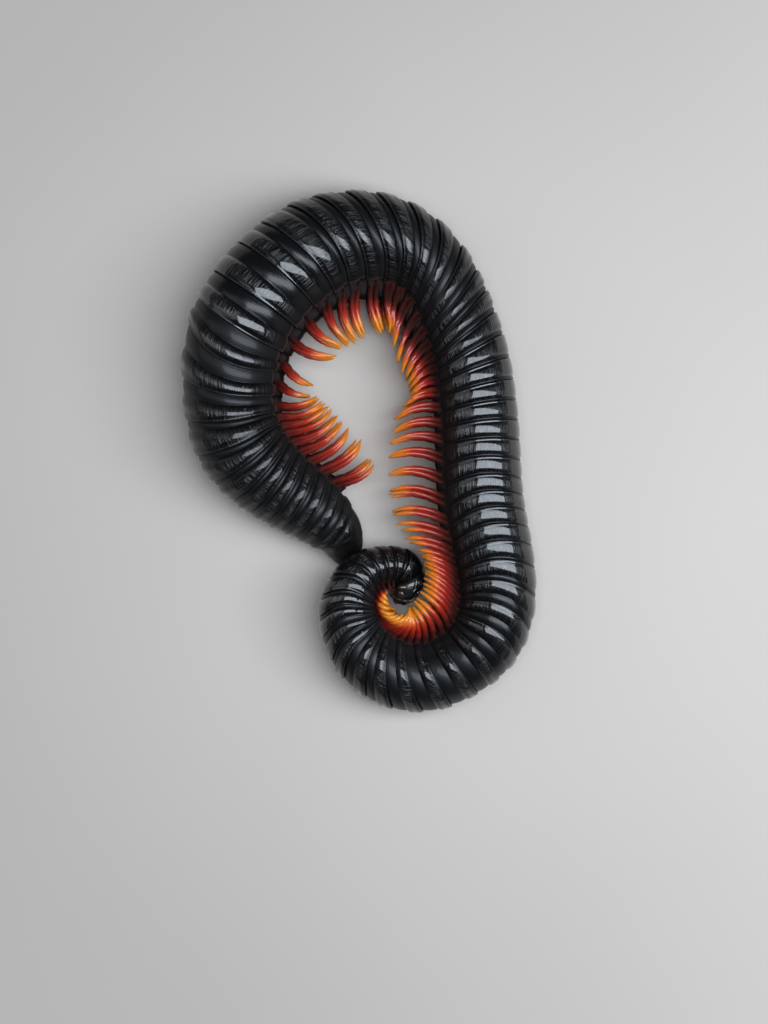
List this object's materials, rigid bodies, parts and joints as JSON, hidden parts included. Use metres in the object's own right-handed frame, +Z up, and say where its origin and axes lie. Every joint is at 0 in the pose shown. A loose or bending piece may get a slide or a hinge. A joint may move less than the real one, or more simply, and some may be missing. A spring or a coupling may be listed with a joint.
{
  "type": "curled giant millipede model",
  "caption": "Still life-size giant black millipede with orange legs, lying on its side in a hook with its head rolled up in a small spiral.",
  "frame": {"origin": "middle of the footprint, on the floor the animal lies on", "axes": "+Z up, out of the animal's right flank; +Y along the hook, from the rolled-up head towards the top of the bend; +X from the tail's limb towards the long straight limb"},
  "size_m": [0.0483, 0.0712, 0.0143],
  "materials": {
    "cuticle": "wet glossy black, satin dark grey where a ring slips under the next, dark red to orange legs",
    "eye": "glossy black beads",
    "feeler": "glossy dark brown"
  },
  "bodies": {
    "root": {"head": "cuticle", "collum": "cuticle", "trunk_1": "cuticle", "trunk_2": "cuticle", "trunk_3": "cuticle", "trunk_4": "cuticle", "trunk_5": "cuticle", "trunk_6": "cuticle", "trunk_7": "cuticle", "trunk_8": "cuticle", "telson": "cuticle", "eye_right": "eye", "eye_left": "eye", "antenna_right": "feeler", "antenna_left": "feeler"}
  },
  "joints": []
}
